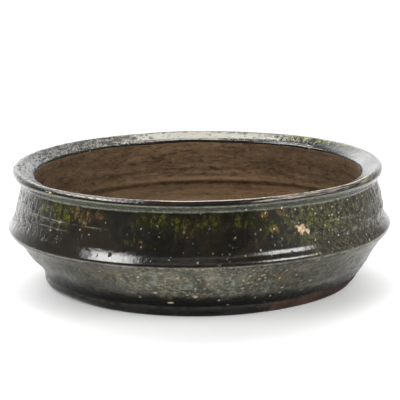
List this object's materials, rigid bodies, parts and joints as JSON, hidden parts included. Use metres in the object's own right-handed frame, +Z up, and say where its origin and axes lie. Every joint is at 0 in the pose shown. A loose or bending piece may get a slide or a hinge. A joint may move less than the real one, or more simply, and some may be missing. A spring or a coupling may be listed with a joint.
{
  "type": "planter bowl",
  "caption": "Shallow round stoneware planter bowl with a dished rim, ridged waist and drained floor, dark green-black glaze outside and bare brown clay inside.",
  "frame": {"origin": "centre of the foot ring's underside, on the ground plane", "axes": "+Z up along the pot's axis of revolution; the picture looks along +Y, with +X to the right"},
  "size_m": [0.36, 0.36, 0.11],
  "materials": {
    "bare_clay": "unglazed stoneware, matt, speckled, with throwing rings",
    "foot_clay": "unglazed foot, dark, partly stained by glaze",
    "olive_grey_glaze": "glossy olive-grey ash glaze with milky patches, pinholes and cream flecks",
    "dark_green_glaze": "glossy green-black ash glaze with olive pools and cream flecks"
  },
  "bodies": {
    "root": {"floor_slab": "bare_clay", "foot_ring": "foot_clay", "lower_wall": "bare_clay", "upper_wall": "bare_clay", "rim_lip": "bare_clay", "glaze_lower": "olive_grey_glaze", "glaze_upper": "dark_green_glaze", "glaze_rim": "dark_green_glaze"}
  },
  "joints": []
}
